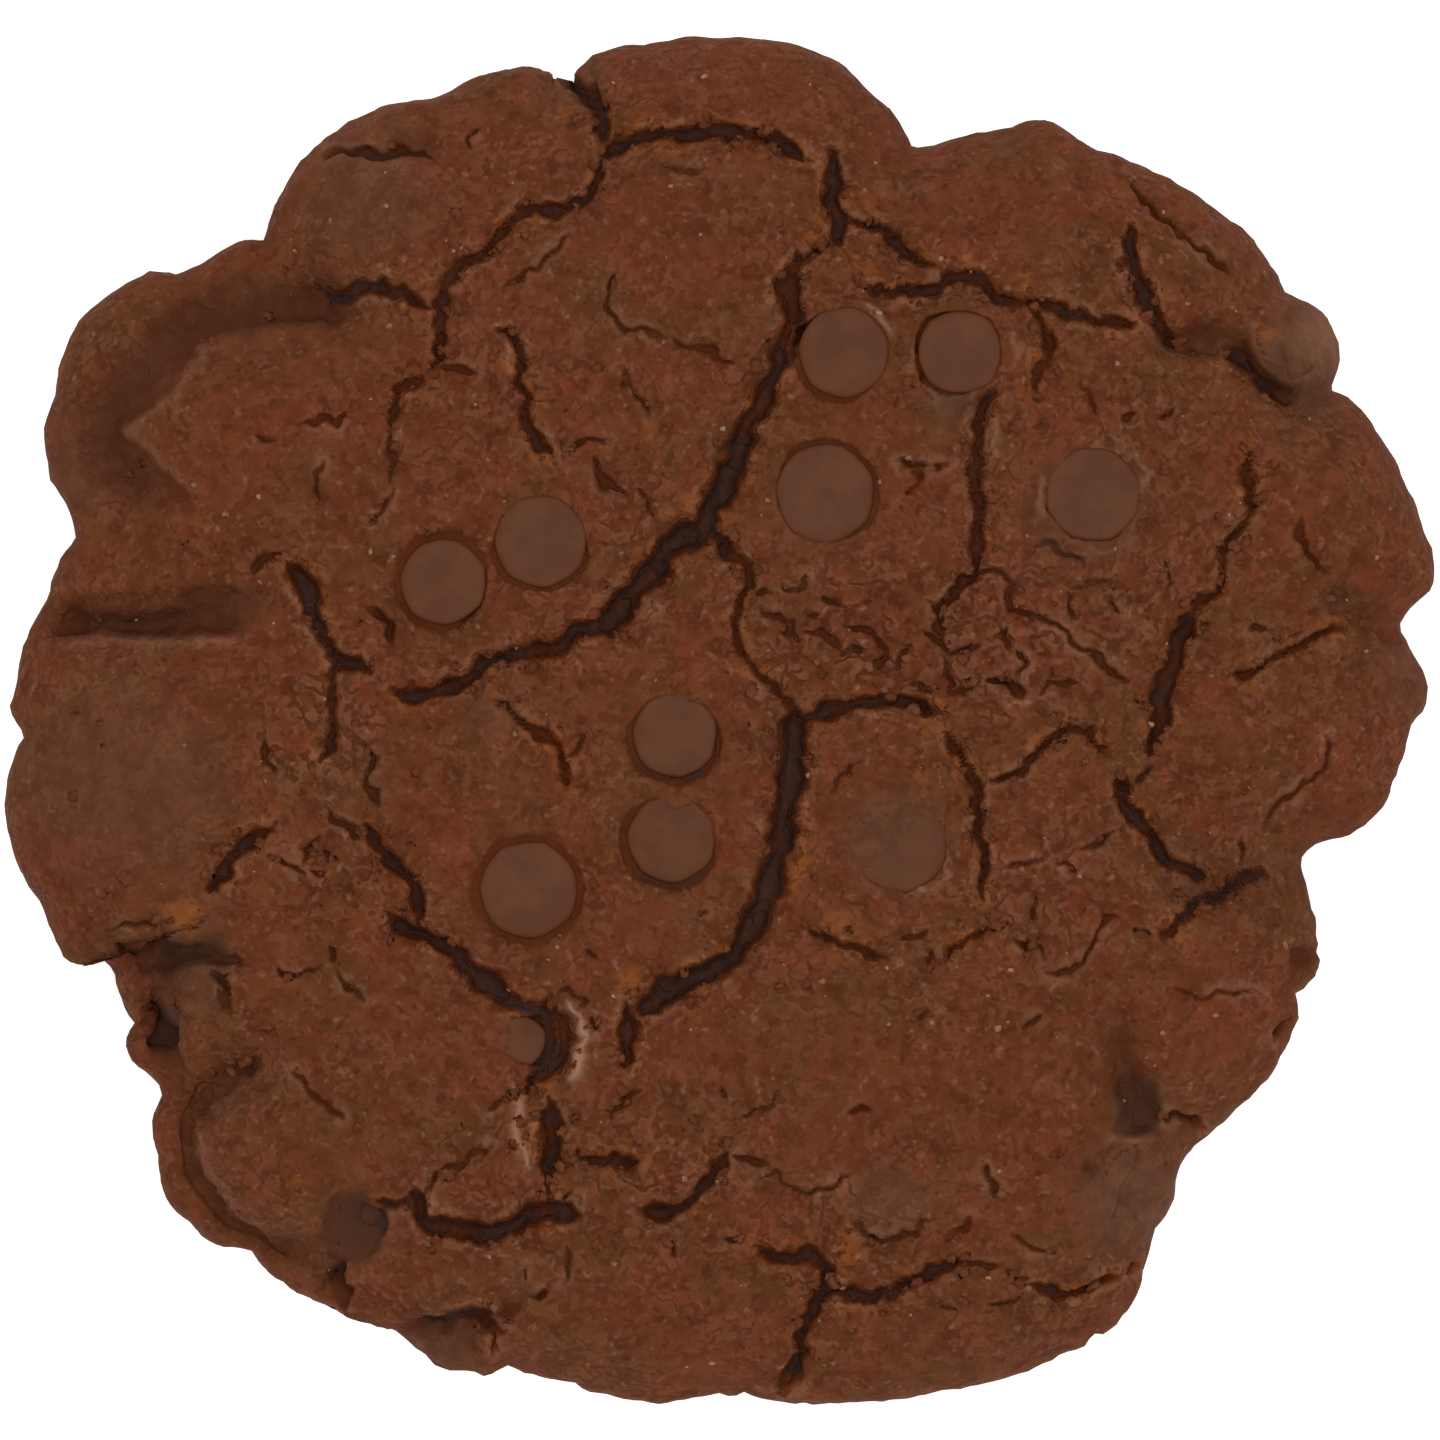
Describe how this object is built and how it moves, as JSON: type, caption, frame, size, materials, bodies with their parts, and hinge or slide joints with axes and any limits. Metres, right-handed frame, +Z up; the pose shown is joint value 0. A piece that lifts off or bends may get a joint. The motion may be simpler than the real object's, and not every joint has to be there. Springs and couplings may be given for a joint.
{
  "type": "double chocolate cookie",
  "caption": "Thick round soft-baked chocolate cookie with a lobed edge, a cracked top and round chocolate chips set flush in the crust.",
  "frame": {"origin": "middle of the outline's box, on the plane of the flat base", "axes": "+Z up out of the cracked top, +X to the right and +Y away from the reader as the cookie is seen from above"},
  "size_m": [0.09, 0.0861, 0.0151],
  "materials": {
    "dough": "matte baked cocoa dough with a fine crackle",
    "chocolate": "satin chocolate"
  },
  "bodies": {
    "root": {"cookie": "dough", "chip_01": "chocolate", "chip_02": "chocolate", "chip_03": "chocolate", "chip_04": "chocolate", "chip_05": "chocolate", "chip_06": "chocolate", "chip_07": "chocolate", "chip_08": "chocolate", "chip_09": "chocolate", "chip_10": "chocolate", "chip_11": "chocolate", "chip_12": "chocolate", "chip_13": "chocolate", "chip_14": "chocolate", "chip_15": "chocolate"}
  },
  "joints": []
}
